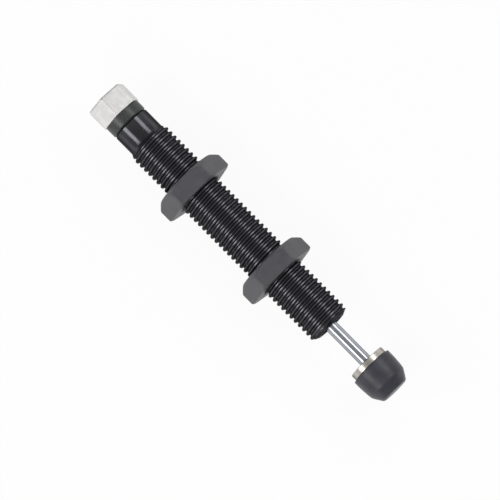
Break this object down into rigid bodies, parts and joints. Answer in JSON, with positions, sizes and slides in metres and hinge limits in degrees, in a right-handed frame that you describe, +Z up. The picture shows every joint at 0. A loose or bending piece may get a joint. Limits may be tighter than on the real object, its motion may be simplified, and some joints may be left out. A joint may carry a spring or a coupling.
{
  "type": "industrial shock absorber",
  "caption": "Adjustable miniature hydraulic shock absorber: threaded body with lock nuts, sprung piston rod with rubber bumper, hexagonal rear adjuster.",
  "frame": {"origin": "on the axis, at the front end face of the body, with the rod fully out", "axes": "+X along the axis towards the bumper, +Z up with the absorber lying on the lower flats of its nuts, +Y to the left seen from the rear"},
  "size_m": [0.0697, 0.0138, 0.012],
  "materials": {
    "black_oxide": "satin",
    "nut_finish": "matte",
    "nickel_plate": "bright plated",
    "polished_rod": "polished",
    "machined_steel": "turned",
    "spring_steel": "drawn wire",
    "bronze": "turned",
    "seal_rubber": "matte",
    "bumper_rubber": "matte",
    "foam": "closed-cell foam",
    "ring_plastic": "matte"
  },
  "bodies": {
    "barrel": {"body_tube": "black_oxide", "gland_ring": "black_oxide", "wiper": "seal_rubber", "rod_seal": "seal_rubber", "seal_washer": "machined_steel", "rod_bearing": "bronze", "bearing_o_ring": "seal_rubber", "spacer_tube": "machined_steel", "accumulator_foam": "foam", "tube_head": "machined_steel", "pressure_tube": "machined_steel", "tube_plug": "machined_steel", "key_pin": "machined_steel", "rear_plug": "machined_steel", "rear_plug_o_ring": "seal_rubber", "retaining_ring": "spring_steel", "stop_pin": "machined_steel", "return_spring": "spring_steel"},
    "adjuster": {"adjuster_knob": "nickel_plate", "index_ring": "black_oxide", "adjuster_spindle": "machined_steel", "spindle_o_ring": "seal_rubber", "stop_arm": "machined_steel"},
    "metering": {"metering_sleeve": "bronze"},
    "rod": {"piston_rod": "polished_rod", "piston_head": "machined_steel", "piston_ring": "ring_plastic", "spring_seat": "machined_steel", "piston_nut": "machined_steel", "cap_ring": "nickel_plate", "bumper": "bumper_rubber"},
    "check": {"check_plate": "machined_steel"},
    "front_nut": {"front_lock_nut": "nut_finish"},
    "rear_nut": {"rear_lock_nut": "nut_finish"}
  },
  "joints": [
    {"name": "rod_slide", "type": "slide", "parent": "barrel", "child": "rod", "axis": [1, 0, 0], "range_m": [-0.008, 0], "stiffness_N_per_m": 400, "springref_m": 0.006, "deforming": ["return_spring"]},
    {"name": "adjuster_turn", "type": "hinge", "parent": "barrel", "child": "adjuster", "pos_m": [-0.05042, 0, 0], "axis": [1, 0, 0], "range_deg": [-150, 150]},
    {"name": "metering_shift", "type": "slide", "parent": "barrel", "child": "metering", "axis": [1, 0, 0], "range_m": [-0.00029, 0.00029]},
    {"name": "check_lift", "type": "slide", "parent": "rod", "child": "check", "axis": [-1, 0, 0], "range_m": [0, 0.00025]},
    {"name": "front_nut_travel", "type": "slide", "parent": "barrel", "child": "front_nut", "axis": [1, 0, 0], "range_m": [-0.008, 0.0107]},
    {"name": "rear_nut_travel", "type": "slide", "parent": "barrel", "child": "rear_nut", "axis": [1, 0, 0], "range_m": [-0.008, 0.008]}
  ],
  "couplings": [
    {"joint": "adjuster_turn", "follows": "metering_shift", "rad_per_m": -8976}
  ]
}
